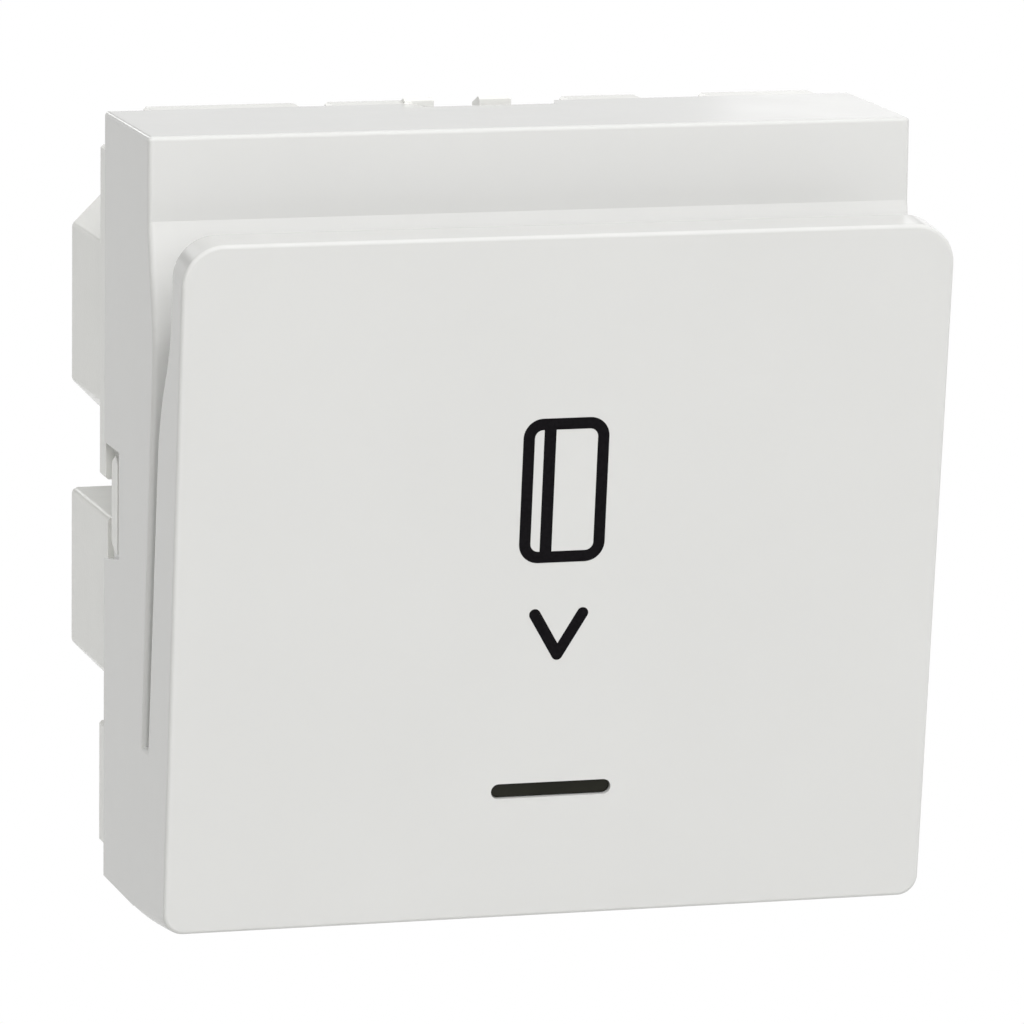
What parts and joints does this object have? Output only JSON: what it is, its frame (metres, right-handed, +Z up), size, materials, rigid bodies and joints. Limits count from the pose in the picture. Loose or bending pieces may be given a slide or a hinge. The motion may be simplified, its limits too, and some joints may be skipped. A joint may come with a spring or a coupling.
{
  "type": "hotel key card switch",
  "caption": "Square wall insert with a leaning front plate and a slot for a key card, which wedges a sprung lever back and works a changeover switch behind.",
  "frame": {"origin": "middle of the cover's rear plane, where the insert seats on its support frame", "axes": "+X to the right as the guest sees it, +Y into the wall, +Z up. The front faces -Y."},
  "size_m": [0.045, 0.0416, 0.0456],
  "materials": {
    "cover_white": "glossy white moulded plastic",
    "frame_white": "satin white moulded plastic",
    "housing_white": "satin white moulded plastic",
    "smoke_lens": "dark smoked translucent plastic",
    "lever_white": "satin off-white moulded plastic",
    "pin_steel": "ground steel",
    "spring_steel": "bright spring steel",
    "screw_steel": "zinc-plated steel",
    "switch_black": "black moulded plastic",
    "plunger_red": "red moulded plastic",
    "contact_brass": "rolled brass strip",
    "board_green": "coated circuit board",
    "lamp_clear": "clear lamp body",
    "component_black": "moulded component body",
    "button_grey": "grey moulded plastic"
  },
  "bodies": {
    "base": {"front_cover": "cover_white", "light_guide": "smoke_lens", "mounting_frame": "frame_white", "rear_housing": "housing_white", "housing_screws": "screw_steel", "lever_pin": "pin_steel", "return_spring": "spring_steel", "switch_case": "switch_black", "switch_cover": "switch_black", "common_contact": "contact_brass", "closed_contact": "contact_brass", "open_contact": "contact_brass", "circuit_board": "board_green", "lamp": "lamp_clear", "dropper_resistor": "component_black", "rectifier_diode": "component_black", "board_pins": "contact_brass", "terminal_bar_upper_left": "contact_brass", "clamp_spring_upper_left": "spring_steel", "terminal_bar_upper_right": "contact_brass", "clamp_spring_upper_right": "spring_steel", "terminal_bar_lower_left": "contact_brass", "clamp_spring_lower_left": "spring_steel", "terminal_bar_lower_right": "contact_brass", "clamp_spring_lower_right": "spring_steel"},
    "lever": {"card_lever": "lever_white"},
    "plunger": {"switch_button": "plunger_red"},
    "blade": {"contact_blade": "contact_brass"},
    "release_upper_left": {"release_button_upper_left": "button_grey"},
    "release_upper_right": {"release_button_upper_right": "button_grey"},
    "release_lower_left": {"release_button_lower_left": "button_grey"},
    "release_lower_right": {"release_button_lower_right": "button_grey"}
  },
  "joints": [
    {"name": "lever_tilt", "type": "hinge", "parent": "base", "child": "lever", "pos_m": [0, -0.0074, 0.004], "axis": [1, 0, 0], "range_deg": [0, 8.5], "stiffness_Nm_per_rad": 0.03, "springref_deg": -8.59, "deforming": ["return_spring"]},
    {"name": "plunger_travel", "type": "slide", "parent": "base", "child": "plunger", "axis": [0, 1, 0], "range_m": [0, 0.00085]},
    {"name": "blade_swing", "type": "hinge", "parent": "base", "child": "blade", "pos_m": [-0.0075, 0.00453, -0.001], "axis": [0, 0, 1], "range_deg": [0, 7]},
    {"name": "release_upper_left_press", "type": "slide", "parent": "base", "child": "release_upper_left", "axis": [0, -1, 0], "range_m": [0, 0.0012], "stiffness_N_per_m": 600, "springref_m": -0.0006, "deforming": ["clamp_spring_upper_left"]},
    {"name": "release_upper_right_press", "type": "slide", "parent": "base", "child": "release_upper_right", "axis": [0, -1, 0], "range_m": [0, 0.0012], "stiffness_N_per_m": 600, "springref_m": -0.0006, "deforming": ["clamp_spring_upper_right"]},
    {"name": "release_lower_left_press", "type": "slide", "parent": "base", "child": "release_lower_left", "axis": [0, -1, 0], "range_m": [0, 0.0012], "stiffness_N_per_m": 600, "springref_m": -0.0006, "deforming": ["clamp_spring_lower_left"]},
    {"name": "release_lower_right_press", "type": "slide", "parent": "base", "child": "release_lower_right", "axis": [0, -1, 0], "range_m": [0, 0.0012], "stiffness_N_per_m": 600, "springref_m": -0.0006, "deforming": ["clamp_spring_lower_right"]}
  ],
  "couplings": [
    {"joint": "plunger_travel", "follows": "lever_tilt", "m_per_rad": 0.0054},
    {"joint": "blade_swing", "follows": "lever_tilt", "ratio": 0.8}
  ]
}
